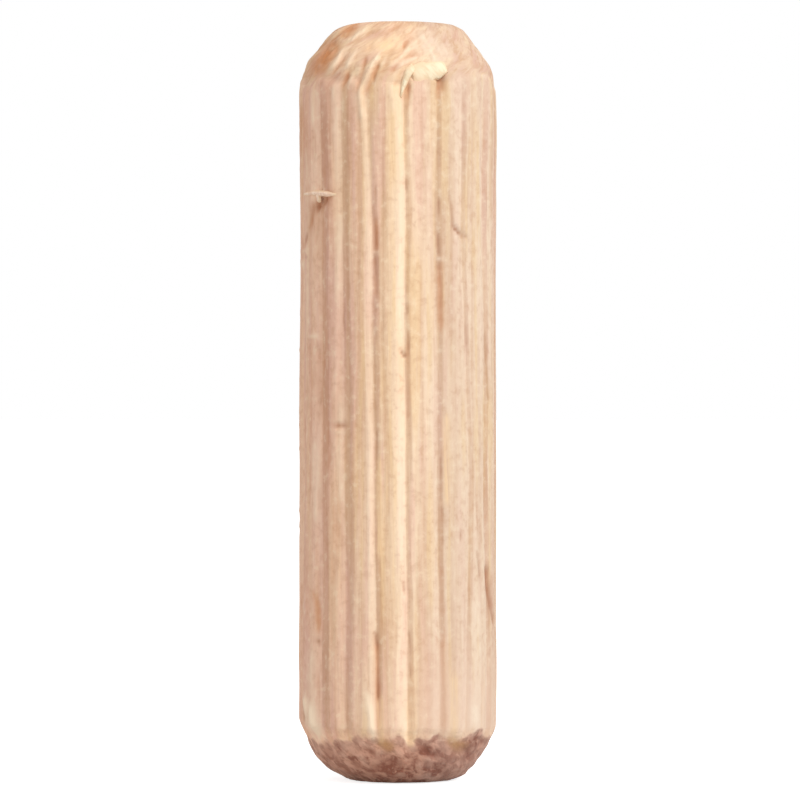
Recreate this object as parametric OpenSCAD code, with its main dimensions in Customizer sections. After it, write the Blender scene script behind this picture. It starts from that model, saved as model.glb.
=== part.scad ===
// Fluted wooden dowel pin: one piece of beech, turned round, pressed with long glue flutes
// and tapered at both ends. It stands on its lower end.
// The origin is the centre of the lower end face, and +Z runs along the pin's axis.
// A turn of 0 faces -Y (the front), and a positive turn goes towards +X.

/* [Pin] */
// Length from end face to end face
pin_len = 30; // [16:0.5:80]
// Diameter over the lands, the plain strips between the flutes
pin_dia = 7.8; // [6:0.1:16]

/* [Flutes] */
// Number of flutes around the pin
flute_count = 19; // [8:1:22]
// Width of a flute between its two lands
flute_w = 0.56; // [0.3:0.02:0.7]
// Depth of a flute below the lands
flute_deep = 0.26; // [0.1:0.02:0.4]
// Turn of the first flute from the front
flute_turn = 6.2; // [-9:0.1:9]

/* [Upper end] */
// Height of the taper, measured to the corner that its shoulder rounds off
upper_taper_h = 1.82; // [0.8:0.02:2.4]
// Angle between the taper and the pin's axis
upper_taper_angle = 38; // [25:1:42]
// Radius of the shoulder where the taper meets the lands
upper_shoulder_r = 1.9; // [0.5:0.1:1.9]
// Radius of the rim around the end face
upper_rim_r = 1.2; // [0.3:0.1:1.8]

/* [Lower end] */
// Height of the taper along its own axis, to the corner where it meets the lands
lower_taper_h = 2.2; // [1:0.05:3]
// Angle between the taper and its own axis
lower_taper_angle = 24; // [20:0.5:36]
// Radius of the rim around the end face
lower_rim_r = 2.4; // [0.5:0.1:2.4]
// Lean of the taper's axis, which takes more off the -X side
lower_lean = 1.5; // [0:0.1:6]
// Height at which the leaning axis crosses the pin's axis
lower_lean_z = 2.9; // [0:0.1:4]
// Length sawn square off the rounded nose, which makes the face that the pin stands on
lower_saw_cut = 0.15; // [0.1:0.01:0.4]

/* [Wear] */
// Depth of the deepest tear in the side
tear_deep = 0.2; // [0.05:0.01:0.35]
// Depth of the pits where fibres pulled out of the tapers
pit_deep = 0.16; // [0.05:0.01:0.3]

/* [Hidden] */

// How far cutting tools reach past what they cut
reach = 1;
// Facets on a full circle
round_fn = 96;
// Flat strips that make up a flute's wavy section
flute_steps = 8;
pin_r = pin_dia / 2;

// Tears along the grain, each a ledge across the grain that thins out below:
// [turn, height of the ledge, length, width, share of tear_deep]
tears = [
    [-50, 23.2, 2.9, 1.3, 1],
    [-76, 21.4, 0.9, 0.6, 0.7],
    [-59, 17.5, 0.5, 0.5, 0.6],
    [-37, 14.1, 0.5, 0.5, 0.8],
    [-56, 8.6, 3.0, 0.6, 0.6],
    [-14, 6.1, 2.6, 0.4, 0.7]
];

// Pits in the tapers, each a shallow dish: [turn, distance in from the end face, width]
upper_pits = [[-55, 1.35, 1.0], [-19, 1.8, 0.5], [112, 1.2, 0.9], [205, 1.5, 0.8]];
lower_pits = [[-66, 1.6, 0.7], [-25, 1.1, 0.9], [8, 1.4, 0.8], [46, 0.9, 0.8], [128, 1.2, 1.0], [222, 1.0, 0.9]];

// Side of a 2-D tangent, from a corner that turns by an angle to the round that fills it
function tangent(r, turn) = r * tan(turn / 2);

// Radius of a straight taper at a distance in from the end face
function taper_r(taper_h, angle, inward) = min(pin_r, pin_r - (taper_h - inward) * tan(angle));

// Depth of a flute at t, which runs from -1 at one land to 1 at the other
function flute_depth(t) = flute_deep * (1 + cos(180 * t)) / 2;

// Section of the tool that presses one flute, with the pin's axis at the origin
module flute_section() {
    half_w = flute_w / 2;
    root = [for (i = [0:flute_steps])
        let (t = 2 * i / flute_steps - 1) [t * half_w, -pin_r + flute_depth(t)]];
    polygon(concat([[-half_w, -pin_r - reach]], root, [[half_w, -pin_r - reach]]));
}

// Round rod with all its flutes, before its ends are tapered
module fluted_rod() {
    linear_extrude(height = pin_len) difference() {
        circle(r = pin_r, $fn = round_fn);
        for (i = [0:flute_count - 1])
            rotate(flute_turn + i * 360 / flute_count) flute_section();
    }
}

// Quarter disc that rounds an outer corner of a half section, centred on the round
module rounded_corner(x, y, r) {
    translate([x, y]) intersection() {
        circle(r = r, $fn = round_fn);
        translate([0, -r]) square(r);
    }
}

// Half section of a taper, its end face on the X axis and the pin above it.
// The rim is round, and side points carry the outline on from the taper.
module taper_section(taper_h, angle, rim_r, side) {
    corner_r = pin_r - taper_h * tan(angle);
    rim = tangent(rim_r, 90 - angle);
    polygon(concat(
        [[0, 0], [corner_r - rim, 0], [corner_r + rim * sin(angle), rim * cos(angle)]],
        side));
    rounded_corner(corner_r - rim, rim_r, rim_r);
}

// Round end that the upper part of the pin lies inside
module upper_form() {
    angle = upper_taper_angle;
    run = tangent(upper_shoulder_r, angle);
    shoulder_y = upper_taper_h + run;
    translate([0, 0, pin_len]) mirror([0, 0, 1]) rotate_extrude($fn = round_fn) {
        taper_section(upper_taper_h, angle, upper_rim_r, [
            [pin_r - run * sin(angle), upper_taper_h - run * cos(angle)],
            [pin_r, shoulder_y],
            [pin_r + reach, shoulder_y],
            [pin_r + reach, pin_len + reach],
            [0, pin_len + reach]
        ]);
        rounded_corner(pin_r - upper_shoulder_r, shoulder_y, upper_shoulder_r);
    }
}

// Leaning cone that the lower part of the pin lies inside. The pin's square lower face
// is a saw cut through its nose.
module lower_form() {
    taper_h = lower_taper_h + lower_saw_cut;
    flare_h = pin_len + reach;
    translate([0, 0, lower_lean_z]) rotate([0, lower_lean, 0])
        translate([0, 0, -lower_lean_z - lower_saw_cut])
            rotate_extrude($fn = round_fn)
                taper_section(taper_h, lower_taper_angle, lower_rim_r, [
                    [pin_r + flare_h * tan(lower_taper_angle), taper_h + flare_h],
                    [0, taper_h + flare_h]
                ]);
}

// Cone that lifts out one tear: its round base is the ledge, and its point runs out below
module tear(turn, ledge_z, len, wide, deep) {
    rotate([0, 0, turn]) translate([0, -pin_r - wide / 2 + deep, ledge_z - len])
        cylinder(r1 = 0, r2 = wide / 2, h = len, $fn = round_fn);
}

// Ball that leaves a shallow dish of the given width in a taper
module pit(turn, r, z, wide) {
    ball_r = (wide * wide / 4 + pit_deep * pit_deep) / (2 * pit_deep);
    rotate([0, 0, turn]) translate([0, -r - ball_r + pit_deep, z]) sphere(r = ball_r, $fn = round_fn);
}

module dowel_pin() {
    color("burlywood") difference() {
        intersection() {
            fluted_rod();
            upper_form();
            lower_form();
        }
        for (t = tears) tear(t[0], t[1], t[2], t[3], t[4] * tear_deep);
        for (p = upper_pits)
            pit(p[0], taper_r(upper_taper_h, upper_taper_angle, p[1]), pin_len - p[1], p[2]);
        for (p = lower_pits)
            pit(p[0], taper_r(lower_taper_h, lower_taper_angle, p[1]), p[1], p[2]);
    }
}

dowel_pin();
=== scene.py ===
import math

import bmesh
import bpy
import numpy as np
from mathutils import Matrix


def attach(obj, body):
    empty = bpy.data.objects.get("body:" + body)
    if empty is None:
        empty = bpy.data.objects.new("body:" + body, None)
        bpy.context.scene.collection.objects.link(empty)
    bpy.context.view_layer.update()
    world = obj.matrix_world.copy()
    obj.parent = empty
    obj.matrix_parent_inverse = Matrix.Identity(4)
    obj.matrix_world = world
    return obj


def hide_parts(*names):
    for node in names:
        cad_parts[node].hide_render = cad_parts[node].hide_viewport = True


# Fluted beech dowel pin, standing on its lower end: the turned and fluted body with its torn
# fibres, the splinters that stand off it, the studio floor, the lamps and the camera.
# Shapes are worked out in millimetres and made metres at the end. A turn of 0 faces the front
# (-Y), and a positive turn goes towards +X. The last number of each random streak is its seed.

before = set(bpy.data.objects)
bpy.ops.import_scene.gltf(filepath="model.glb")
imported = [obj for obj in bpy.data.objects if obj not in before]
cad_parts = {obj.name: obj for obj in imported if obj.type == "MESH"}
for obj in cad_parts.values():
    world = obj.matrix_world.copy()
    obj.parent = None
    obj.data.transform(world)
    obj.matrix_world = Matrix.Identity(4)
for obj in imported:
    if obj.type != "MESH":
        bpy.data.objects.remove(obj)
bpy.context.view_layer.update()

# Whole pin. The upper end is worked above UPPER_FROM and the lower one below LOWER_TO, the lean is
# followed below LEAN_TO, and the marks lie within FRONT_TURN of the front.
MM = 0.001
PIN_LEN = 30.0
MID_HEIGHT = PIN_LEN / 2
LAND_R = 3.9
UPPER_FROM = 20
LOWER_TO = 6
LEAN_TO = 4
FRONT_TURN = 100
GRAIN_DRIFT = 2.2
GRAIN_DRIFT_SPAN = 24
NOISE_MARGIN = 6
FAR = 1e9

# Flutes: a long slope down on the left and a short wall up on the right. Those at the front
# wander, with the lowest line at these turns at these heights. The rest are evenly placed, each
# off by a little and leaning by a little.
FLUTE_COUNT = 19
PITCH = 360.0 / FLUTE_COUNT
FIRST_FLUTE = 6.2
FLUTE_OFFSET = 1.3
FLUTE_LEAN = 0.9
FLUTE_SEED = 4
PATH_HEIGHTS = (3.2, 7.6, 12.3, 17.1, 21.8, 26.5, 28.5)
FLUTE_PATHS = {
    -4: (-77, -77, -72.5, -74, -76, -76, -76),
    -3: (-50, -49.6, -50, -50, -50.4, -51, -51),
    -2: (-31.5, -31.1, -32.3, -32.8, -34.1, -34.9, -34.9),
    -1: (-12, -12.4, -13.5, -14.2, -14.4, -18, -20),
    0: (6, 5.4, 4.8, 4.2, 4.5, 3.6, 4.1),
    1: (25.8, 25.1, 23.8, 24.5, 22.5, 23.2, 23.2),
    2: (43.6, 45.5, 46.8, 43.4, 40.4, 40.4, 40.4),
    3: (65, 65, 62.1, 62.5, 60.8, 60.8, 61.5),
}
# Shapes of the same flutes: width of slope, width of wall and depth in mm, brownness, paleness of
# slope, and share of the brownness that is left in the topmost quarter. The paleness is partly
# painted light on the slopes, which face the key lamp, and the brownness partly painted shade on the walls
FLUTE_SHAPES = {
    -4: (0.32, 0.36, 0.06, 0.3, 0.4, 1),
    -3: (0.62, 0.48, 0.075, 0.8, 1.15, 1),
    -2: (0.42, 0.4, 0.065, 0.5, 0.6, 1),
    -1: (0.26, 0.24, 0.06, 0.6, 0.7, 0.1),
    0: (0.34, 0.24, 0.08, 0.6, 0.65, 0.8),
    1: (0.34, 0.23, 0.06, 0.6, 0.45, 1),
    2: (0.32, 0.2, 0.055, 0.55, 0.3, 1),
    3: (0.34, 0.26, 0.07, 0.7, 0.3, 1),
}
OTHER_FLUTES = (0.36, 0.26, 0.11, 0.8, 0.5, 1)
# Fine seams in the lands, pressed in beside the flutes: (strength, turns at the same heights)
SEAMS = [
    (0.8, (-45.4, -43.8, -46.2, -48, -46.2, -46.2, -47)),
    (0.6, (-29.1, -27.8, -28.5, -28.5, -30.5, -31.2, -31.5)),
    (0.5, (-22, -21.3, -22.6, -25.8, -22, -22.6, -23)),
    (0.5, (-5.6, -7.4, -5.6, -8, -8, -8, -9.5)),
    (0.55, (15.8, 15.8, 15.8, 13.3, 13.3, 13.3, 13)),
    (0.3, (33.2, 32.5, 33.9, 32.5, 33.9, 33.9, 33.5)),
    (0.45, (57.7, 57.7, 49.8, 48.9, 48, 48, 48)),
]
SEAM_DEPTH = 0.025
SEAM_LINE = 0.07
CROWN = 0.03
EDGE_SPAN = 0.2
SLOPE_STEP = 0.03

# Upper end: taper, shoulder and rim. The starts and ends are depths below the upper face.
UP_ANGLE = math.radians(38.0)
UP_SHOULDER_R = 1.9
UP_SHOULDER_MIDDLE = 2.0
UP_SHOULDER_END = 2.474
UP_TAPER_START = 1.305
UP_TAPER_R = 3.497
UP_RIM_R = 1.2
UP_RIM_MIDDLE = 1.893
UP_RIM_END = 0.461

# Lower end: leaning taper and rounded nose
LOW_ANGLE = math.radians(24.0)
LOW_TAPER_H = 2.2
LOW_NOSE_R = 2.4
LOW_SAW_CUT = 0.15
LOW_LEAN = math.tan(math.radians(1.5))
LOW_LEAN_H = 2.9

# Height up to which the lower end is scorched, by turn
SCORCH_TURNS = (-180, -80, -62, -50, -38, -25, -12, 0, 12, 25, 38, 50, 62, 80, 180)
SCORCH_HEIGHTS = (1.8, 1.6, 1.62, 1.74, 1.83, 1.88, 1.8, 1.86, 1.74, 1.98, 1.62, 2.1, 1.98, 1.8, 1.8)

# Random relief in layers: (depth in mm, width round the pin, length along it, seed)
RAISED_FIBRES = ((0.011, 0.2, 3, 11), (0.014, 0.45, 7, 12), (0.006, 0.12, 1.2, 13))
ROUGH_UPPER = ((0.045, 0.5, 0.42, 21), (0.018, 0.22, 0.2, 22))
ROUGH_LOWER = ((0.045, 0.5, 0.42, 23), (0.025, 0.28, 0.26, 24))
SCORCH_FRAY = ((0.13, 0.55, 0.8, 41), (0.1, 0.22, 0.35, 42))

# Mesh density, how near a face counts as on it, and how near two points are made one
COLUMNS = 330
FACE_RINGS = 8
END_STEP = 0.075
SIDE_STEP = 0.13
END_SPAN = 2.7
PROFILE_SAMPLES = 6001
TURN_SAMPLES = 7201
FLAT = 1e-5
MERGE = 1e-3


def srgb(red, green, blue):
    """Linear colour of an 8-bit colour."""
    parts = [v / 255 for v in (red, green, blue)]
    return tuple(v / 12.92 if v <= 0.04045 else ((v + 0.055) / 1.055) ** 2.4 for v in parts) + (1.0,)


def smooth(t):
    """Rise from 0 to 1 that starts and ends gently."""
    return t * t * (3 - 2 * t)


def ease(start, end, x):
    """Smooth step from 0 at start to 1 at end."""
    return smooth(np.clip((x - start) / (end - start), 0, 1))


def soft_least(first, second, blend):
    """The lesser of two values, rounded where they cross."""
    return (first + second - np.sqrt((first - second) ** 2 + blend**2)) / 2


def bell(x, middle, width):
    """Rounded bump of height 1 about a middle."""
    return np.exp(-(((x - middle) / width) ** 2))


def fibre_noise(turn, along, width, length, seed):
    """Smooth random values from -1 to 1 round the pin, in streaks of that width and length in mm."""
    rng = np.random.default_rng(seed)
    cells = max(5, round(2 * math.pi * LAND_R / width))
    rows = int((PIN_LEN + 2 * NOISE_MARGIN) / length) + 4
    grid = rng.uniform(-1, 1, (cells, rows))
    shift = rng.uniform(0, 1, cells)
    u = (turn / 360.0 % 1.0) * cells
    i = np.floor(u).astype(int)
    fu = smooth(u - i)
    total = 0
    for step, weight in ((0, 1 - fu), (1, fu)):
        column = (i + step) % cells
        v = np.clip((along + NOISE_MARGIN) / length + shift[column], 0, rows - 2)
        j = np.floor(v).astype(int)
        fv = smooth(v - j)
        total = total + weight * (grid[column, j] * (1 - fv) + grid[column, j + 1] * fv)
    return total


def layered(turn, along, layers, total=0):
    """A value with layers of random streaks added to it."""
    for depth, width, length, seed in layers:
        total = total + depth * fibre_noise(turn, along, width, length, seed)
    return total


def upper_outline(height):
    """Radius of the upper end at a height."""
    inward = np.clip(PIN_LEN - height, 0, None)
    shoulder = np.sqrt(np.clip(UP_SHOULDER_R**2 - (UP_SHOULDER_END - inward) ** 2, 0, None))
    taper = UP_TAPER_R - (UP_TAPER_START - inward) * math.tan(UP_ANGLE)
    rim = np.sqrt(np.clip(UP_RIM_R**2 - (UP_RIM_R - inward) ** 2, 0, None))
    radius = np.where(inward < UP_SHOULDER_END, UP_SHOULDER_MIDDLE + shoulder, LAND_R)
    radius = np.where(inward < UP_TAPER_START, taper, radius)
    return np.where(inward < UP_RIM_END, UP_RIM_MIDDLE + rim, radius)


def lower_outline(height):
    """Radius of the lower end about its own leaning axis at a height."""
    slant = math.tan(LOW_ANGLE)
    centre_h = LOW_NOSE_R - LOW_SAW_CUT
    meet_h = centre_h - LOW_NOSE_R * math.sin(LOW_ANGLE)
    centre_r = LAND_R - (LOW_TAPER_H - meet_h) * slant - LOW_NOSE_R * math.cos(LOW_ANGLE)
    nose = centre_r + np.sqrt(np.clip(LOW_NOSE_R**2 - (centre_h - height) ** 2, 0, None))
    return np.where(height < meet_h, nose, LAND_R - (LOW_TAPER_H - height) * slant)


def face_radii():
    """Radii of the lower and the upper face."""
    return float(lower_outline(np.array(0.0))), float(upper_outline(np.array(PIN_LEN)))


def lower_reach(turn, height):
    """Radius of the leaning lower end about the pin's axis."""
    height = np.clip(height, 0, LEAN_TO)
    lean = (LOW_LEAN_H - height) * LOW_LEAN
    side, front = np.sin(np.radians(turn)), np.cos(np.radians(turn))
    radius = lower_outline(height)
    return lean * side + np.sqrt(np.clip(radius**2 - (lean * front) ** 2, 0, None))


def profile_points():
    """Half outline of the upright pin, from the middle of its lower face to that of its upper face."""
    low_r, up_r = face_radii()
    points = [(low_r * i / FACE_RINGS, 0.0) for i in range(FACE_RINGS)]
    fine = np.linspace(0, PIN_LEN, PROFILE_SAMPLES)
    radius = np.minimum(np.minimum(upper_outline(fine), lower_outline(fine)), LAND_R)
    step = np.where((fine < END_SPAN) | (fine > PIN_LEN - END_SPAN), END_STEP, SIDE_STEP)
    run = np.hypot(np.diff(fine), np.diff(radius)) / ((step[1:] + step[:-1]) / 2)
    run = np.concatenate([[0], np.cumsum(run)])
    heights = np.interp(np.linspace(0, run[-1], int(run[-1]) + 1), run, fine)
    points += [(float(np.interp(h, fine, radius)), float(h)) for h in heights]
    points += [(up_r * (FACE_RINGS - 1 - i) / FACE_RINGS, PIN_LEN) for i in range(FACE_RINGS)]
    return points


def drift(height):
    """Turn by which the grain has wandered at a height."""
    return -GRAIN_DRIFT * (height - MID_HEIGHT) / GRAIN_DRIFT_SPAN


def flute_place(k):
    """Number of a flute counted from the front, below 0 on the left."""
    return k if k <= FLUTE_COUNT // 2 else k - FLUTE_COUNT


def flute_turns(height):
    """Turn of every flute at each height, one row to a flute."""
    rng = np.random.default_rng(FLUTE_SEED)
    rows = []
    for k in range(FLUTE_COUNT):
        place = flute_place(k)
        wander = rng.uniform(-FLUTE_OFFSET, FLUTE_OFFSET) + drift(height)
        wander = wander + FLUTE_LEAN * rng.uniform(-1, 1) * (height - MID_HEIGHT) / MID_HEIGHT
        if place in FLUTE_PATHS:
            rows.append(np.interp(height, PATH_HEIGHTS, FLUTE_PATHS[place]))
        else:
            rows.append(FIRST_FLUTE + place * PITCH + wander)
    return rows


def warp_columns(turn, places):
    """Even turns moved closer together at the flutes and over the front."""
    dense = np.linspace(-180, 180, TURN_SAMPLES)
    weight = 1 + 1.3 * (1 - ease(95, 120, np.abs(dense)))
    near = np.min(np.abs((dense[:, None] - places[None, :] + 180) % 360 - 180), axis=1)
    weight = weight * (1 + 0.8 * bell(near, 0, 3.0))
    run = np.concatenate([[0], np.cumsum((weight[1:] + weight[:-1]) / 2)])
    return np.interp(turn, run / run[-1] * 360 - 180, dense)


def arc_gap(turn, place):
    """Distance in mm round the lands from one turn to another, below 0 on the left of it."""
    return np.radians((turn - place + 180) % 360 - 180) * LAND_R


def along_line(k, levels, length, seed):
    """Smooth random values from -1 to 1 along flute or seam number k."""
    return fibre_noise(np.zeros_like(levels) + 20.0 * k, levels, 2, length, seed + k)


def strip(offset, width):
    """1 within a strip of that width, with soft edges."""
    return np.clip((width / 2 + EDGE_SPAN / 2 - np.abs(offset)) / EDGE_SPAN, 0, 1)


def flute_relief(turn, height):
    """Depth in mm of the flutes, and how near each place is to their walls, slopes and to a seam."""
    depth, wall, wall_tone, slope, slope_tone, seam = np.zeros((6, len(turn)))
    nearest = np.full_like(turn, FAR)
    # Each flute is worked out once per ring of the mesh, and level says on which ring a point lies
    levels, level = np.unique(np.round(height, 4), return_inverse=True)
    late = 0.7 * fibre_noise(turn, 0 * height, 1.2, 8, 27) - ease(34, 50, turn)
    fade = 1 - 0.65 * ease(25.6, 27.6, height + late)
    topmost = ease(21.5, 24.0, levels)
    for k, path in enumerate(flute_turns(levels)):
        slope_w, wall_w, deep, brown, pale, top_share = FLUTE_SHAPES.get(flute_place(k), OTHER_FLUTES)
        path = path + 0.35 * along_line(k, levels, 3, 50)
        deep = deep * (1 + 0.4 * along_line(k, levels, 3.5, 80))
        deep = deep * (1 - 0.6 * (1 - top_share) * topmost)
        brown = brown * np.clip(0.85 + 0.4 * along_line(k, levels, 2.2, 110), 0.1, 1.4)
        brown = brown * (1 - (1 - top_share) * topmost)
        pale = pale * np.clip(0.9 + 0.35 * along_line(k, levels, 4, 230), 0, 1.4)
        wide = 1 + 0.25 * along_line(k, levels, 5, 140)
        wall_w, slope_w = wall_w * wide[level], slope_w * wide[level]
        gap = arc_gap(turn, path[level])
        nearest = np.where(np.abs(gap) < np.abs(nearest), gap, nearest)
        groove = np.where(gap < 0, ease(slope_w, 0, -gap), ease(wall_w, 0, gap))
        depth = depth + deep[level] * fade * groove
        on_wall = strip(gap - wall_w / 2, wall_w)
        on_slope = strip(gap + slope_w / 2 + SLOPE_STEP, slope_w)
        wall_tone = np.where(on_wall > wall, brown[level] * fade, wall_tone)
        slope_tone = np.where(on_slope > slope, pale[level] * fade, slope_tone)
        wall = np.maximum(wall, on_wall)
        slope = np.maximum(slope, on_slope)
    for k, (strength, turns) in enumerate(SEAMS):
        path = np.interp(levels, PATH_HEIGHTS, turns) + 0.5 * along_line(k, levels, 3, 170)
        deep = np.clip(0.8 + 0.8 * along_line(k, levels, 3, 200), 0, 2) * strength
        gap = arc_gap(turn, path[level])
        reach = np.where(gap < 0, 0.16, 0.08)
        depth = depth + SEAM_DEPTH * deep[level] * np.exp(-((np.abs(gap) / reach) ** 1.6)) * fade
        seam = np.maximum(seam, bell(gap, 0, SEAM_LINE) * deep[level])
    half = math.radians(PITCH) * LAND_R / 2
    off_centre = 1 - np.clip(np.abs(nearest) / half, 0, 1)
    depth = depth + CROWN * off_centre**2 * (1 - ease(26.6, 27.8, height))
    tones = {"wall": wall, "wall_tone": wall_tone, "slope": slope, "slope_tone": slope_tone}
    return depth, {**tones, "seam": seam * fade}


def stroke(across, height, front, path, width):
    """Nearness to a line on the front of the pin, through points given as (across, height) in mm."""
    best = np.full_like(across, FAR)
    for (x0, z0), (x1, z1) in zip(path, path[1:]):
        dx, dz = x1 - x0, z1 - z0
        t = np.clip(((across - x0) * dx + (height - z0) * dz) / (dx * dx + dz * dz), 0, 1)
        best = np.minimum(best, np.hypot(across - x0 - t * dx, height - z0 - t * dz))
    ends = [np.hypot(across - x, height - z) for x, z in (path[0], path[-1])]
    length = sum(math.dist(a, b) for a, b in zip(path, path[1:]))
    taper = ease(0, min(2.5 * width, 0.3 * length), np.minimum(*ends))
    return np.where(front, bell(best / width, 0, 0.5 + 0.5 * taper) * (0.4 + 0.6 * taper), 0)


# Marks on the front, in the order in which they are cut. Each row has a depth, a width and points as
# (across, height), all in mm.
MARKS = {}
HAIRLINE = (0.028, 0.045)

# Cracks and slits that run with the grain
MARKS["slit"] = [
    (*HAIRLINE, (-2.13, 18.75), (-2.15, 18.28), (-2.12, 17.77)),
    (0.055, 0.05, (0.08, 17.1), (0.26, 16.8), (0.42, 16.9)),
    (0.018, 0.045, (1.98, 23.28), (2.1, 22.5), (2.16, 21.9)),
    (0.11, 0.07, (2.1, 21.96), (2.24, 21.78), (2.5, 21.6), (2.78, 21.42)),
    (*HAIRLINE, (2.69, 18.13), (2.73, 17.19)),
    (*HAIRLINE, (3.5, 17.71), (3.6, 15.06)),
    (0.09, 0.07, (-2.49, 14.13), (-2.06, 14.1)),
    (0.033, 0.045, (1.62, 22.96), (1.62, 22.26)),
    (*HAIRLINE, (1.6, 21.59), (1.62, 20.69)),
    (*HAIRLINE, (1.62, 20.46), (1.64, 20.15)),
    (0.033, 0.045, (-0.88, 22.17), (-0.86, 20.92)),
    (0.033, 0.045, (-0.9, 20.73), (-0.86, 19.91)),
    (0.022, 0.045, (-0.84, 17.8), (-0.82, 17.25)),
    (*HAIRLINE, (0.35, 19.63), (0.37, 19.2)),
    (0.033, 0.045, (0.39, 18.73), (0.41, 18.42)),
    (*HAIRLINE, (0.41, 17.8), (0.43, 16.94)),
    (*HAIRLINE, (0.33, 23.73), (0.37, 23.18)),
    (*HAIRLINE, (-0.86, 23.42), (-0.86, 22.64)),
    (*HAIRLINE, (-0.82, 13.89), (-0.82, 12.33)),
    (*HAIRLINE, (1.7, 12.91), (1.7, 11.15)),
    (*HAIRLINE, (1.74, 10.96), (1.78, 9.39)),
    (*HAIRLINE, (2.45, 9.96), (2.47, 9.61)),
    (*HAIRLINE, (3.11, 9.19), (3.25, 8.12)),
    (0.08, 0.06, (3.53, 8.57), (3.61, 7.6), (3.69, 6.87), (3.8, 6.2)),
    (*HAIRLINE, (0.2, 8.04), (0.27, 7.57)),
    (0.045, 0.08, (-1.05, 5.95), (-0.86, 5.95), (-0.8, 5.45)),
    (0.033, 0.05, (-0.8, 5.69), (-0.76, 3.35)),
    (*HAIRLINE, (0.45, 6.09), (0.51, 5.23)),
    (0.022, 0.045, (0.49, 4.76), (0.53, 4.29)),
    (0.09, 0.08, (-3.69, 2.98), (-3.6, 2.45)),
    (0.04, 0.08, (-3.16, 5.66), (-3.05, 5.56)),
    (*HAIRLINE, (-3.13, 15.22), (-3.05, 14.91)),
    (*HAIRLINE, (-3.17, 17.35), (-3.09, 16.95)),
    (0.05, 0.06, (-3.52, 21.7), (-3.62, 21.45), (-3.77, 21.22)),
    (0.04, 0.05, (-3.72, 20.84), (-3.58, 20.68)),
    (*HAIRLINE, (-3.75, 20.86), (-3.67, 20.65)),
    (0.05, 0.12, (-2.72, 23.02), (-2.98, 22.88), (-3.2, 22.66), (-3.32, 22.5)),
]

# Places where fibres tore out and left a rough brown strip
MARKS["torn"] = [
    (0.06, 0.14, (-3.34, 22.7), (-3.42, 22.2), (-3.46, 21.8)),
    (0.05, 0.18, (-2.9, 22.95), (-3.2, 22.4), (-3.25, 21.3)),
    (0.04, 0.14, (-3.01, 17.23), (-3.05, 14.28)),
    (0.04, 0.12, (-2.77, 15.06), (-2.69, 12.31)),
    (0.03, 0.16, (-2.97, 22.46), (-3.05, 20.38)),
    (0.03, 0.08, (-0.88, 22.33), (-0.84, 18.97)),
    (0.03, 0.07, (1.66, 20.07), (1.7, 17.8)),
    (0.03, 0.09, (3.55, 8.4), (3.66, 7.0), (3.8, 6.2)),
    (0.04, 0.09, (-0.79, 5.69), (-0.76, 3.35)),
    (0.03, 0.08, (0.41, 17.41), (0.41, 14.28)),
    (0.02, 0.12, (-2.41, 11.14), (-2.33, 9.38)),
    (0.02, 0.1, (1.7, 8.81), (1.82, 5.67)),
    (0.04, 0.16, (-3.8, 27.0), (-3.78, 24.0)),
    (0.02, 0.14, (-2.89, 26.08), (-2.85, 23.52)),
    (0.01, 0.22, (-2.83, 19.2), (-2.83, 14.6)),
]

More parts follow.
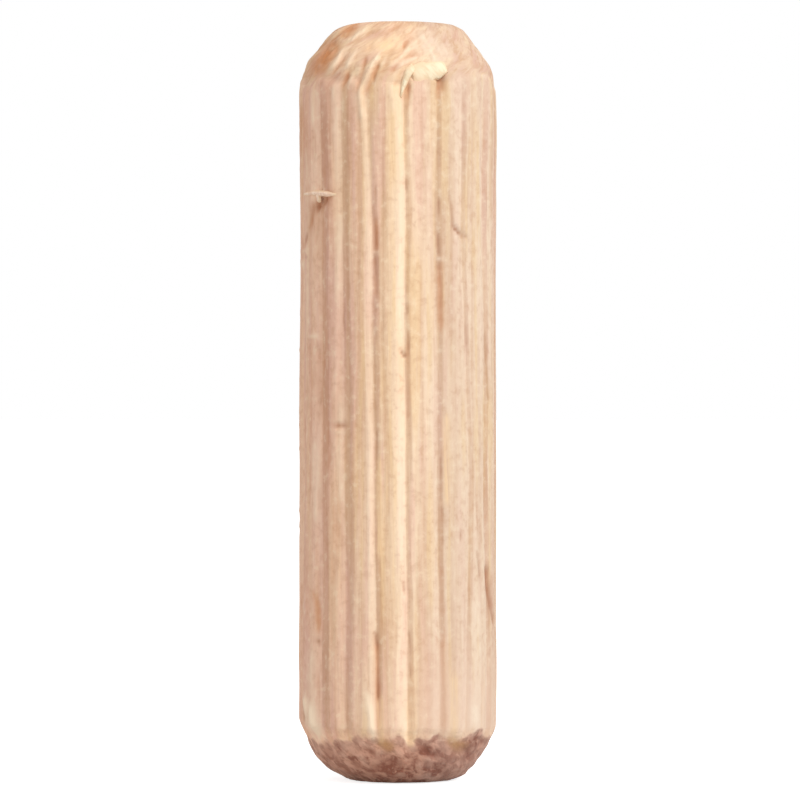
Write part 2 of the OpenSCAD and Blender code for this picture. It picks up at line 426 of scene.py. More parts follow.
# Pads, nicks and fibres that stand a little proud, and are paler
MARKS["proud"] = [
    (-0.08, 0.1, (-2.11, 29.21), (-1.79, 29.27), (-1.52, 29.47), (-1.24, 29.72)),
    (-0.09, 0.13, (-2.02, 28.92), (-2.26, 28.58), (-2.5, 28.27), (-2.81, 27.85)),
    (-0.13, 0.1, (-0.74, 28.6), (-0.86, 28.34), (-1.08, 28.02), (-1.26, 27.68), (-1.38, 27.35),
     (-1.45, 27.08), (-1.4, 26.01)),
    (-0.04, 0.1, (-1.47, 28.37), (-1.54, 27.85)),
    (-0.05, 0.09, (0.88, 28.48), (0.41, 28.31), (-0.02, 28.02)),
    (-0.04, 0.09, (0.57, 28.93), (0.25, 28.55), (-0.21, 28.14)),
    (-0.03, 0.28, (-1.0, 28.86), (-0.14, 29.05)),
    (-0.05, 0.42, (0.95, 29.05), (1.6, 28.6)),
    (-0.04, 0.22, (0.8, 28.43), (1.74, 28.47)),
    (-0.04, 0.08, (-1.63, 28.8), (-1.86, 28.39), (-2.1, 27.99)),
    (-0.03, 0.06, (-0.45, 28.47), (-0.64, 28.11)),
    (-0.05, 0.07, (-1.78, 27.82), (-1.9, 27.35)),
    (-0.03, 0.12, (-2.45, 27.54), (-2.45, 26.44)),
    (-0.03, 0.1, (-3.29, 27.22), (-3.29, 25.91)),
    (-0.03, 0.09, (-0.21, 27.39), (-0.14, 26.3)),
    (-0.04, 0.07, (-1.0, 20.86), (-0.68, 20.8)),
    (-0.03, 0.05, (-0.88, 18.85), (-0.72, 18.73)),
    (-0.04, 0.07, (0.37, 18.97), (0.6, 18.85)),
    (-0.03, 0.05, (1.54, 20.64), (1.7, 20.58)),
    (-0.05, 0.08, (-3.54, 17.6), (-3.05, 17.64)),
    (-0.03, 0.06, (-2.41, 13.85), (-2.13, 13.87)),
    (-0.03, 0.14, (-2.21, 14.91), (-2.17, 14.32)),
    (-0.04, 0.08, (-3.79, 20.98), (-3.54, 21.02)),
    (-0.04, 0.07, (-3.84, 20.55), (-3.71, 20.22)),
    (-0.03, 0.12, (-3.21, 13.49), (-3.17, 10.26)),
    # The raised wedge at the lower left, tinted palest: painted light, as it lies on the side in shade
    (-0.12, 0.13, (-3.58, 3.5), (-3.51, 2.6), (-3.32, 1.85)),
    (-0.05, 0.16, (-3.42, 3.3), (-3.34, 2.5), (-3.12, 1.78)),
    (-0.03, 0.14, (-1.15, 3.35), (-0.88, 1.94)),
    (-0.01, 0.1, (-1.28, 26.6), (-1.18, 24.5), (-1.12, 21.5)),
    (-0.02, 0.14, (-3.34, 5.4), (-3.38, 3.2)),
    (-0.01, 0.12, (2.17, 9.2), (2.17, 5.4)),
    (-0.01, 0.12, (1.25, 9.0), (1.22, 5.2)),
    (-0.01, 0.12, (-3.55, 25.0), (-3.57, 17.5)),
    (-0.02, 0.1, (0.25, 2.77), (0.33, 1.54)),
    (-0.03, 0.06, (0.25, 7.53), (0.33, 7.26)),
    (-0.02, 0.06, (-3.38, 15.14), (-3.17, 15.18)),
    (-0.02, 0.12, (-2.41, 26.83), (-2.33, 23.49)),
    (-0.02, 0.12, (-2.25, 22.31), (-2.33, 18.98)),
    (-0.02, 0.1, (-1.11, 22.09), (-1.07, 18.97)),
    (-0.02, 0.1, (0.06, 25.99), (0.1, 17.21)),
    (-0.02, 0.12, (0.18, 15.06), (0.14, 8.82)),
    (-0.02, 0.1, (-1.07, 14.28), (-1.07, 6.47)),
    (-0.02, 0.1, (-2.29, 13.5), (-2.21, 11.15)),
    (-0.02, 0.12, (3.05, 7.19), (3.09, 3.25)),
]

# Hollows where fibres pulled out of the upper taper, tinted brown; in some of them the brown is painted
# shade
MARKS["hollow"] = [
    (0.09, 0.06, (-2.1, 28.52), (-2.36, 28.19), (-2.65, 27.8)),
    (0.05, 0.1, (-1.94, 27.95), (-2.02, 27.63), (-2.12, 27.36)),
    (0.15, 0.1, (-0.74, 28.24), (-0.88, 27.92), (-1.02, 27.54), (-1.2, 27.15), (-1.26, 26.85)),
    (0.06, 0.07, (-1.23, 28.53), (-1.34, 28.12), (-1.48, 27.57), (-1.58, 27.1)),
    (0.05, 0.08, (-1.04, 28.98), (-1.19, 28.69)),
    (0.15, 0.13, (0.47, 27.46), (0.39, 27.18), (0.34, 26.65)),
    # Painted shadow under the lifted right end of the cream flake
    (0.2, 0.15, (1.78, 27.86), (1.7, 27.5), (1.66, 27.0)),
    (0.06, 0.09, (0.49, 29.18), (0.33, 28.97), (0.18, 28.76)),
    (0.04, 0.08, (-0.14, 28.84), (-0.33, 28.63), (-0.57, 28.6)),
    (0.04, 0.08, (0.02, 28.1), (-0.21, 27.9)),
    (0.05, 0.08, (0.72, 28.56), (0.45, 28.39)),
    (0.05, 0.07, (0.25, 27.94), (0.1, 27.67)),
    (0.03, 0.07, (0.92, 29.15), (0.72, 28.93)),
    (0.04, 0.08, (-0.37, 28.27), (-0.53, 27.95)),
    (0.04, 0.07, (-1.47, 27.65), (-1.58, 27.34)),
    # Painted shade: the dark of these two hollows stands in for a shadow
    (0.1, 0.17, (-2.74, 23.1), (-2.94, 22.95)),
    (0.1, 0.14, (-3.06, 22.84), (-3.3, 22.62)),
    (0.05, 0.08, (-3.28, 22.6), (-3.4, 22.15), (-3.5, 21.7)),
    (0.04, 0.08, (-3.66, 21.4), (-3.72, 21.1)),
]

# Hollows in the lower taper
MARKS["pit"] = [
    (0.09, 0.16, (2.72, 1.3), (2.84, 1.1)),
    (0.08, 0.13, (-2.86, 1.46), (-2.66, 1.1)),
    (0.06, 0.12, (-1.18, 1.44), (-0.8, 1.22)),
    (0.1, 0.15, (-1.15, 0.68), (-0.45, 0.72)),
    (0.07, 0.14, (-0.35, 1.0), (0.1, 0.72)),
    (0.09, 0.2, (0.88, 1.44), (1.66, 1.18)),
    (0.07, 0.14, (-2.1, 0.56), (-1.55, 0.25)),
    (0.06, 0.12, (1.25, 0.72), (1.85, 0.45)),
    (0.07, 0.14, (0.6, 0.98), (1.35, 0.84)),
    (0.06, 0.09, (3.3, 1.75), (3.38, 1.55)),
]

# Paler pads between them
MARKS["pad"] = [
    (-0.04, 0.32, (1.85, 1.05), (2.5, 0.8)),
    (-0.04, 0.18, (1.7, 1.62), (2.05, 1.36)),
    (-0.04, 0.13, (-0.95, 1.04), (-0.35, 1.12)),
    (-0.04, 0.09, (-1.38, 0.42), (-0.85, 0.42)),
    (-0.03, 0.15, (0.15, 1.36), (0.6, 1.28)),
    (-0.03, 0.12, (0.1, 0.96), (0.5, 0.86)),
    (-0.03, 0.24, (-2.6, 1.0), (-2.1, 1.22)),
    (-0.03, 0.2, (-1.75, 1.5), (-1.4, 1.3)),
]

# Wide orange scoops on the left, where the cutter pulled the wood away
MARKS["orange"] = [
    (0.09, 0.3, (-2.7, 28.9), (-2.94, 28.58), (-3.18, 28.22)),
    (0.06, 0.18, (-1.8, 29.8), (-2.1, 29.5)),
    (0.02, 0.08, (-2.5, 29.3), (-2.75, 29.1)),
    (0.03, 0.08, (-3.3, 7.6), (-3.15, 7.0), (-3.1, 6.0)),
    (0.0, 0.07, (-3.73, 26.6), (-3.71, 24.8)),
    (0.0, 0.14, (1.8, 5.8), (1.86, 2.1)),
    (0.01, 0.07, (-0.82, 5.6), (-0.76, 2.2)),
    (0.02, 0.07, (-0.82, 22.1), (-0.8, 20.9)),
    (0.01, 0.09, (1.66, 20.4), (1.7, 17.8)),
]

# Ochre stains along the edge of the scorch
MARKS["ochre"] = [
    (0.0, 0.16, (-0.58, 1.76), (-0.34, 1.6)),
    (0.0, 0.2, (2.15, 1.7), (2.5, 1.48)),
]

# Honey streaks in the wood
MARKS["honey"] = [
    (0.0, 0.12, (2.2, 4.4), (2.22, 1.9)),
    (0.0, 0.12, (-0.68, 3.6), (-0.62, 1.8)),
    (0.0, 0.2, (-1.0, 28.9), (-0.1, 29.0)),
    (0.0, 0.1, (1.9, 14.5), (1.92, 11.0)),
    (0.0, 0.09, (-0.7, 12.8), (-0.7, 9.0)),
]

# Pale strips just above the scorch. The first is painted light: a highlight on the raised wedge at the lower
# left, which lies on the side in shade.
MARKS["pale_strip_and_highlight"] = [
    (0.0, 0.12, (-3.38, 3.2), (-3.29, 2.5), (-3.09, 1.78)),
    (0.0, 0.1, (-1.14, 3.7), (-0.94, 1.9)),
    (0.0, 0.14, (3.0, 3.2), (3.08, 2.3)),
]

# Marks that are more colour than cut
STAINS = ("orange", "ochre", "honey", "pale_strip_and_highlight")


def flat_sheet(name, columns, rows, size):
    """Square mesh that reaches out by size, in even cells."""
    bm = bmesh.new()
    bmesh.ops.create_grid(bm, x_segments=columns, y_segments=rows, size=size)
    mesh = bpy.data.meshes.new(name)
    bm.to_mesh(mesh)
    bm.free()
    return mesh


def placed(name, data):
    """Object put into the scene."""
    made = bpy.data.objects.new(name, data)
    bpy.context.scene.collection.objects.link(made)
    return made


def rolled_sheet():
    """Sheet for the pin, and the turn, radius, height and run along the wood of each of its points."""
    outline = np.array(profile_points())
    rings = len(outline)
    mesh = flat_sheet("fluted_pin", COLUMNS, rings - 1, 1)
    flat = np.empty(len(mesh.vertices) * 3)
    mesh.vertices.foreach_get("co", flat)
    flat = flat.reshape(-1, 3)
    middles = np.array([float(t[0]) for t in flute_turns(np.array([MID_HEIGHT]))])
    turn = warp_columns(flat[:, 0] * 180, middles)
    ring = np.rint((flat[:, 1] + 1) / 2 * (rings - 1)).astype(int)
    radius, height = outline[ring, 0], outline[ring, 1]
    length = np.concatenate([[0], np.cumsum(np.hypot(*np.diff(outline, axis=0).T))])
    taper_top = int(np.argmax(outline[:, 1] > LOW_TAPER_H))
    length = length - length[taper_top] + outline[taper_top, 1]
    along = np.where(height < LOW_TAPER_H, length[ring], height)
    return mesh, turn, radius, height, along


def fluted_rod(turn, height, relief):
    """Radius of the straight rod with its flutes, raised fibres and a slight waist on the left."""
    swell = 0.05 * bell(height, 26, 1.6) + 0.05 * bell(height, 4.2, 1.5)
    waist = 0.07 * bell(height, 20.5, 3.5) * ease(-55, -85, turn) * ease(-150, -110, turn)
    fibres = layered(turn - drift(height), height, RAISED_FIBRES)
    return LAND_R - relief + swell * 0.6 + 0.02 + fibres - waist


def fore(turn):
    """1 over the front and the sides, falling to 0 at the back."""
    return 1 - ease(120, 170, np.abs(turn))


def dragged(turn, height):
    """Turns along the fibres that the cutter dragged over the upper and the lower taper."""
    rise = np.clip(2.6 - (PIN_LEN - height), 0, 2.6)
    return turn - 10 * rise - 2.4 * rise**2, turn - 7 * np.clip(1.8 - height, 0, 1.8)


def upper_taper(turn, height):
    """Radius that the rough upper taper leaves, its roughness and the wobble of its lower edge."""
    in_from_top = PIN_LEN - height
    rough = layered(dragged(turn, height)[0], height, ROUGH_UPPER)
    rough = rough * (1 - 0.55 * ease(12, 40, turn) * fore(turn))
    worn_side = 0.03 + 0.03 * bell(turn, -80, 35)
    worn_side = worn_side - 0.12 * ease(30, 80, turn) * ease(120, 90, turn) * bell(in_from_top, 0, 0.3)
    ragged_edge = 0.07 * np.clip(fibre_noise(turn, 0 * height, 0.9, 8, 25), 0, 1)
    wobble = 0.45 * fibre_noise(turn, 0 * height, 0.6, 8, 26)
    limit = upper_outline(height) - worn_side - ragged_edge + rough
    return limit + 0.5 * np.clip(in_from_top - 2.35 + wobble, 0, None), rough, wobble


def lower_taper(turn, height, along, relief):
    """Radius that the rough lower taper leaves, and its roughness."""
    left, right = ease(10, -60, turn) * fore(turn), ease(20, 80, turn) * fore(turn)
    rough = layered(dragged(turn, height)[1], along, ROUGH_LOWER)
    trim = 0.03 + 0.05 * bell(height, 0.35, 0.3) * left
    trim = trim - 0.09 * bell(height, 1.85, 0.5) * right
    trim = trim + 0.05 * bell(height, 0.85, 0.35) * right
    trim = trim + (0.1 - 0.22 * right) * bell(height, 0.1, 0.18)
    limit = lower_reach(turn, height) + rough * ease(2.3, 1.6, height) - trim
    return limit - 0.8 * relief * ease(0.9, 2.0, height), rough


def cut_tapers(turn, height, along, rod_r, relief):
    """Radius of the rod with both tapers cut, where they are cut, and how low their rough relief lies, which
    sets the painted shade and light on the tapers.
    """
    up_limit, rough_up, wobble = upper_taper(turn, height)
    low_limit, rough_low = lower_taper(turn, height, along, relief)
    radius = np.where(height > UPPER_FROM, soft_least(rod_r, up_limit, 0.08), rod_r)
    radius = np.where(height < LOWER_TO, soft_least(rod_r, low_limit, 0.02), radius)
    upper_cut = ease(-0.01, 0.1, rod_r - up_limit - 0.02) * ease(2.7, 2.1, PIN_LEN - height + wobble)
    lower_cut = ease(-0.04, 0.05, rod_r - low_limit) * (height < LOWER_TO)
    # Lowness of the rough relief, from which the finish paints shade in the hollows and light on the bumps
    relief_shading = np.clip(0.5 - np.where(height > UPPER_FROM, rough_up / 0.09, rough_low / 0.12), 0, 1)
    return radius, {"upper_cut": upper_cut, "lower_cut": lower_cut, "relief_shading": relief_shading}


def mark_tint(name, near, flicker, depth):
    """How strongly a mark shows."""
    if name in STAINS:
        return near**0.6 * (min(1, 0.35 + 8 * depth) if name == "orange" else 1)
    return near**0.7 * np.clip(flicker, 0.5, 1.2) * min(1.2, 0.4 + 12 * abs(depth))


def wear(turn, height, new_r, upper_cut):
    """Radius with every mark cut into it, and how strongly each kind of mark shows."""
    body_r = np.minimum(lower_reach(turn, height), LAND_R)
    body_r = np.minimum(np.where(height < LEAN_TO, body_r, LAND_R), upper_outline(height))
    across = body_r * np.sin(np.radians(turn))
    front = np.abs(turn) < FRONT_TURN
    flicker = 0.75 + 0.5 * fibre_noise(turn, height, 0.15, 0.5, 33)
    marks = {}
    for name, rows in MARKS.items():
        marks[name] = np.zeros_like(turn)
        for depth, width, *path in rows:
            near = stroke(across, height, front, path, width)
            new_r = new_r - depth * near * np.clip(flicker, 0.3, 1.3)
            marks[name] = np.maximum(marks[name], mark_tint(name, near, flicker, depth))
    foot_pit = 0.4 * bell(turn, 0, 28) * ease(0.8, 0.2, height)
    side_pads = (0.6 * ease(26, 45, turn) + 0.4 * ease(-28, -45, turn)) * fore(turn) * ease(1.7, 1.2, height)
    side = 0.25 + 0.75 * ease(-22, -48, turn) * (1 - ease(-120, -150, turn))
    low_fade, top_fade = ease(2.5, 4, height), ease(27, 25, height)
    ragged = ease(0.3, 0.75, fibre_noise(turn, height, 0.3, 1.5, 34)) * side * low_fade * top_fade
    nick = ease(0.62, 0.9, fibre_noise(turn, height, 0.22, 0.3, 35)) * side * low_fade * top_fade
    pulled = ease(0.3, 0.8, fibre_noise(dragged(turn, height)[0], height, 0.4, 0.8, 36))
    pulled = pulled * upper_cut * (0.3 + 0.7 * ease(5, -40, turn) * fore(turn))
    for name, extra in (
        ("pit", foot_pit), ("pad", side_pads), ("torn", 0.45 * ragged), ("proud", 0.3 * nick),
        ("hollow", 0.6 * pulled),
    ):
        marks[name] = np.maximum(marks[name], extra)
    return new_r - 0.025 * ragged + 0.02 * nick - 0.05 * pulled, marks


def shell_points(turn, radius, height, new_r):
    """Every point of the shell in mm, and where the end faces are, which stay flat and follow the rims."""
    low_face = height < FLAT
    up_face = height > PIN_LEN - FLAT
    rim_low, rim_up = face_radii()
    share_low = np.where(low_face, radius / rim_low, 1)
    share_up = np.where(up_face, radius / rim_up, 1)
    lean = LOW_LEAN_H * LOW_LEAN
    x, y = new_r * np.sin(np.radians(turn)), -new_r * np.cos(np.radians(turn))
    x = np.where(low_face, lean + (x - lean) * share_low, x) * share_up
    y = y * share_low * share_up
    from_middle = np.where(low_face, radius, new_r)
    lift = 0.03 * np.clip((from_middle - 1.3) / 0.8, 0, 1.2) ** 2 * np.exp(-height / 0.25)
    face = np.where(low_face, ease(1.02, 0.9, share_low), 0)
    face = np.maximum(face, np.where(up_face, ease(1.02, 0.9, share_up), 0))
    return np.stack([x, y, height + lift], axis=1), face


def wood_values(turn, height, tones, cuts, face):
    """What the finish reads at each point: its place on a flute, a taper or a face, and its tones."""
    line = np.interp(turn, SCORCH_TURNS, SCORCH_HEIGHTS) + 0.04 - 0.25 * tones["wall"] * tones["wall_tone"]
    line = layered(turn, height, SCORCH_FRAY, line)
    pink = ease(-8, -48, turn)
    pink = pink * (1 - ease(120, 170, -turn)) + 0.5 * ease(110, 150, turn) * (1 - ease(160, 180, turn))
    uncut = (1 - cuts["upper_cut"]) * (1 - 0.25 * cuts["lower_cut"])
    return {
        **tones,
        **{name: tones[name] * uncut for name in ("wall_tone", "slope_tone", "seam")},
        **cuts,
        "scorch": ease(0.25, -0.3, height - line),
        "scorch_in": np.clip((line - height) / 1.1, 0, 1),
        "face": face,
        "pink": pink,
        "cream": bell(turn - drift(height), 0.8, 4.5) * (1 - 0.45 * ease(19, 24, height)),
        "tan": bell(turn - drift(height), -6.0, 5.0) * ease(3, 7, height),
        # Side towards the key lamp, darkened in the finish as painted shade
        "lit_side": ease(2, 32, turn) * (1 - ease(110, 150, turn)),
    }


def fibre_coords(turn, height, along, cuts):
    """Coordinates in mm that run with the fibres, for the streaks of the finish."""
    drag_up, drag_low = dragged(turn, height)
    lean = np.where(height > UPPER_FROM, drag_up - turn, 0) + np.where(height < LOWER_TO, drag_low - turn, 0)
    cut = np.maximum(cuts["upper_cut"], cuts["lower_cut"])
    grain_turn = np.radians(turn - drift(height) * (1 - cut) + lean * cut)
    return np.stack([LAND_R * np.sin(grain_turn), -LAND_R * np.cos(grain_turn), along], axis=1)


def pin_body():
    """The pin as one closed shell, with its wear and the attributes that its finish reads."""
    mesh, turn, radius, height, along = rolled_sheet()
    relief, tones = flute_relief(turn, height)
    rod_r = fluted_rod(turn, height, relief)
    new_r, cuts = cut_tapers(turn, height, along, rod_r, relief)
    new_r, marks = wear(turn, height, new_r, cuts["upper_cut"])
    points, face = shell_points(turn, radius, height, new_r)
    mesh.vertices.foreach_set("co", (points * MM).reshape(-1))
    mesh.update()
    for name, data in {**marks, **wood_values(turn, height, tones, cuts, face)}.items():
        mesh.attributes.new(name, "FLOAT", "POINT").data.foreach_set("value", data.astype(np.float32))
    grain = fibre_coords(turn, height, along, cuts).astype(np.float32).reshape(-1)
    mesh.attributes.new("grain", "FLOAT_VECTOR", "POINT").data.foreach_set("vector", grain)
    bm = bmesh.new()
    bm.from_mesh(mesh)
    bmesh.ops.remove_doubles(bm, verts=bm.verts, dist=MERGE * MM)
    bmesh.ops.recalc_face_normals(bm, faces=bm.faces)
    bm.to_mesh(mesh)
    bm.free()
    mesh.shade_smooth()
    return placed("fluted_pin", mesh)


# Splinters that stand proud of the front, each (points as (across, height), half widths, lifts)
CREAM_SPLINTERS = [
    ([(0.58, 27.67), (0.92, 27.79), (1.22, 27.9), (1.53, 28.01), (1.93, 28.14)],
     [0.4, 0.46, 0.46, 0.41, 0.27], [0.02, 0.04, 0.07, 0.11, 0.13]),
    ([(0.12, 26.85), (0.2, 27.2), (0.33, 27.58), (0.46, 27.88), (0.66, 28.1)],
     [0.06, 0.1, 0.15, 0.19, 0.17], [0.05, 0.07, 0.08, 0.07, 0.05]),
]
ROSY_SPLINTERS = [
    ([(-3.75, 23.22), (-3.42, 23.22), (-3.05, 23.2), (-2.7, 23.16), (-2.36, 23.13)],
     [0.07, 0.11, 0.13, 0.12, 0.06], [0.05, 0.07, 0.08, 0.06, 0.02]),
    ([(-3.12, 23.14), (-3.09, 23.00), (-3.07, 22.86)], [0.07, 0.06, 0.04], [0.06, 0.04, 0.02]),
]
SPLINTER_ALONG = 24
SPLINTER_ACROSS = 12
SPLINTER_THICK = 0.03
SPLINTER_ROOT = 0.05
SPLINTER_SEED = 7
SPLINTER_NOTCHES = 26


def skin(across, height):
    """Point on the pin's front at a place, and the way out of the wood there."""
    step = 0.01
    radius = np.minimum(LAND_R, upper_outline(height))
    slope = (np.minimum(LAND_R, upper_outline(height + step)) - radius) / step
    side = np.clip(across / radius, -1, 1)
    ahead = -np.sqrt(1 - side**2)
    tilt = np.hypot(1, slope)
    out = np.stack([side / tilt, ahead / tilt, -slope / tilt], axis=-1)
    return np.stack([radius * side, radius * ahead, height], axis=-1), out


def splinters(name, rows):
    """Thin slivers with domed backs, their borders sunk into the wood."""
    bm = bmesh.new()
    loose_layer = bm.verts.layers.float.new("loose")
    rng = np.random.default_rng(SPLINTER_SEED)
    for path, half_widths, lifts in rows:
        sheet = bmesh.ops.create_grid(bm, x_segments=SPLINTER_ALONG, y_segments=SPLINTER_ACROSS, size=1)
        flat = np.array([v.co[:] for v in sheet["verts"]])
        along, over = (flat[:, 0] + 1) / 2, flat[:, 1]
        knots = np.linspace(0, 1, len(path))
        points = np.array(path)
        across, height = np.interp(along, knots, points[:, 0]), np.interp(along, knots, points[:, 1])
        ahead = np.clip(along + 0.05, 0, 1)
        behind = np.clip(along - 0.05, 0, 1)
        run_x = np.interp(ahead, knots, points[:, 0]) - np.interp(behind, knots, points[:, 0])
        run_z = np.interp(ahead, knots, points[:, 1]) - np.interp(behind, knots, points[:, 1])
        size = np.hypot(run_x, run_z)
        notches = rng.uniform(-1, 1, SPLINTER_NOTCHES)
        notch_places = np.linspace(0, 2.5, SPLINTER_NOTCHES)
        ragged = 1 + 0.1 * np.interp(along + 1.5 * (over > 0), notch_places, notches)
        wide = np.interp(along, knots, half_widths) * over * ragged
        place, out = skin(across - run_z / size * wide, height + run_x / size * wide)
        steep = ease(0.25, 0.75, along)
        soft = (1 - over**2) ** 1.2
        pad = np.where(over < 0, steep * (1 - over**6) + (1 - steep) * soft, soft)
        pad = pad * ease(-0.05, 0.12, along) * (1 - along**12)
        lift = (np.interp(along, knots, lifts) + SPLINTER_ROOT) * pad - SPLINTER_ROOT
        loose = np.clip(lift / 0.05, 0, 1) * (1 - 0.6 * ease(0.3, 1, over))
        for vertex, where, share in zip(sheet["verts"], place + out * lift[:, None], loose):
            vertex.co = where
            vertex[loose_layer] = share
    bmesh.ops.recalc_face_normals(bm, faces=bm.faces)
    bmesh.ops.solidify(bm, geom=bm.faces[:], thickness=SPLINTER_THICK)
    bmesh.ops.recalc_face_normals(bm, faces=bm.faces)
    bmesh.ops.scale(bm, vec=(MM, MM, MM), verts=bm.verts)
    mesh = bpy.data.meshes.new(name)
    bm.to_mesh(mesh)
    bm.free()
    mesh.shade_smooth()
    return placed(name, mesh)


# Finish: helpers for node trees

def node(tree, kind, inputs=None, **settings):
    """A node with its settings and inputs: values, outputs of other nodes and names of attributes."""
    made = tree.nodes.new(kind)
    for name, value in settings.items():
        setattr(made, name, value)
    for key, value in (inputs or {}).items():
        if isinstance(value, str):
            value = attribute(tree, value)
        if isinstance(value, bpy.types.NodeSocket):
            tree.links.new(value, made.inputs[key])
        else:
            made.inputs[key].default_value = value
    return made


def attribute(tree, name):
    """Output of a named attribute of the piece: its value, or its vector for the grain."""
    made = node(tree, "ShaderNodeAttribute", attribute_name=name)
    return made.outputs["Vector" if name == "grain" else "Fac"]


def streaks(tree, coords, width, length, detail=2.0, distortion=0.0):
    """Noise in streaks of that width and length, in the units of the coordinates."""
    place = node(tree, "ShaderNodeMapping", {"Vector": coords, "Scale": (1 / width, 1 / width, 1 / length)})
    made = node(tree, "ShaderNodeTexNoise", {
        "Vector": place.outputs["Vector"], "Scale": 1.0, "Detail": detail, "Roughness": 0.55,
        "Distortion": distortion})
    return made.outputs["Fac"]


def spread(tree, value, low, high):
    """Value stretched from low..high to 0..1."""
    made = node(tree, "ShaderNodeMapRange", {"Value": value, "From Min": low, "From Max": high},
                interpolation_type="SMOOTHSTEP")
    return made.outputs["Result"]


def maths(tree, operation, first, second):
    """Result of one operation on two values."""
    return node(tree, "ShaderNodeMath", {0: first, 1: second}, operation=operation).outputs[0]


def times(tree, first, second):
    """Product of two values."""
    return maths(tree, "MULTIPLY", first, second)


def less(tree, start, mask, share):
    """A start value, less a share of a mask."""
    return maths(tree, "SUBTRACT", start, times(tree, mask, share))


def mixed(tree, share, first, second, blend="MIX"):
    """Colour between two colours."""
    inputs = {"Factor": share, 6: first, 7: second}
    return node(tree, "ShaderNodeMix", inputs, data_type="RGBA", blend_type=blend).outputs[2]


def tinted(tree, colour, mask, share, tint):
    """Colour moved towards a tint by a share, where the mask shows."""
    return mixed(tree, times(tree, mask, share), colour, tint)


def coats(tree, colour, *rows):
    """Colour under coats of tint, each (value, where it starts, where it is full, share, tint)."""
    for value, start, full, share, tint in rows:
        colour = tinted(tree, colour, spread(tree, value, start, full), share, tint)
    return colour


def new_finish(name):
    """A finish with an empty node tree."""
    finish = bpy.data.materials.new(name)
    finish.use_nodes = True
    finish.node_tree.nodes.clear()
    return finish, finish.node_tree


TAN = srgb(228, 192, 158)
PALE = srgb(244, 214, 182)
CREAM = srgb(255, 234, 202)
PINK = srgb(233, 183, 156)
HONEY = srgb(238, 202, 154)
ROSE = srgb(230, 184, 164)
# Tints of the flute slopes and walls, partly painted light on the slopes and painted shade on the walls
RIDGE_PALE = srgb(250, 222, 194)
RIDGE_ROSE = srgb(250, 210, 182)
GROOVE_BROWN = srgb(196, 142, 104)
GROOVE_ROSE = srgb(196, 146, 124)
TORN_BROWN = srgb(206, 150, 116)
HOLLOW_BROWN = srgb(190, 122, 80)
SLIT_BROWN = srgb(176, 120, 88)
END_PALE = srgb(232, 196, 164)
END_TAN = srgb(214, 168, 132)
END_CREAM = srgb(244, 214, 172)
END_ROSE = srgb(222, 174, 152)
SCORCH_LIGHT = srgb(226, 182, 158)
SCORCH_PALE = srgb(214, 162, 137)
SCORCH_DARK = srgb(143, 88, 69)
PAD_PALE = srgb(212, 164, 140)
# Painted light: how much brighter the lower taper is made, against the shade of its downward slope
LOW_TAPER_PAINTED_LIGHT = (1.12, 1.09, 1.05, 1.0)
PROUD_PALE = srgb(252, 226, 196)
BAND_TAN = srgb(222, 184, 146)
ORANGE = srgb(206, 132, 78)
OCHRE = srgb(196, 146, 98)
STREAK_HONEY = srgb(248, 210, 162)
# Colour of the pale strips, and of the painted highlight on the wedge
PALE_STRIP_AND_HIGHLIGHT = srgb(255, 232, 202)
FOOT_PALE = srgb(246, 212, 184)
ROOT_TAN = srgb(240, 208, 172)
# Painted shade: how much darker and greyer the side towards the key lamp is made
LIT_SIDE_PAINTED_SHADE = srgb(238, 242, 249)
FACE_TAN = srgb(214, 174, 138)
FACE_DARK = srgb(192, 148, 114)


def flute_strip(tree, name, uneven_edge, full):
    """Where the slopes or the walls of the flutes show their tone, with uneven edges: painted light on the
    slopes and painted shade on the walls, partly the wood's own tone.
    """
    near = spread(tree, maths(tree, "ADD", name, uneven_edge), 0.35, full)
    return times(tree, near, name + "_tone")


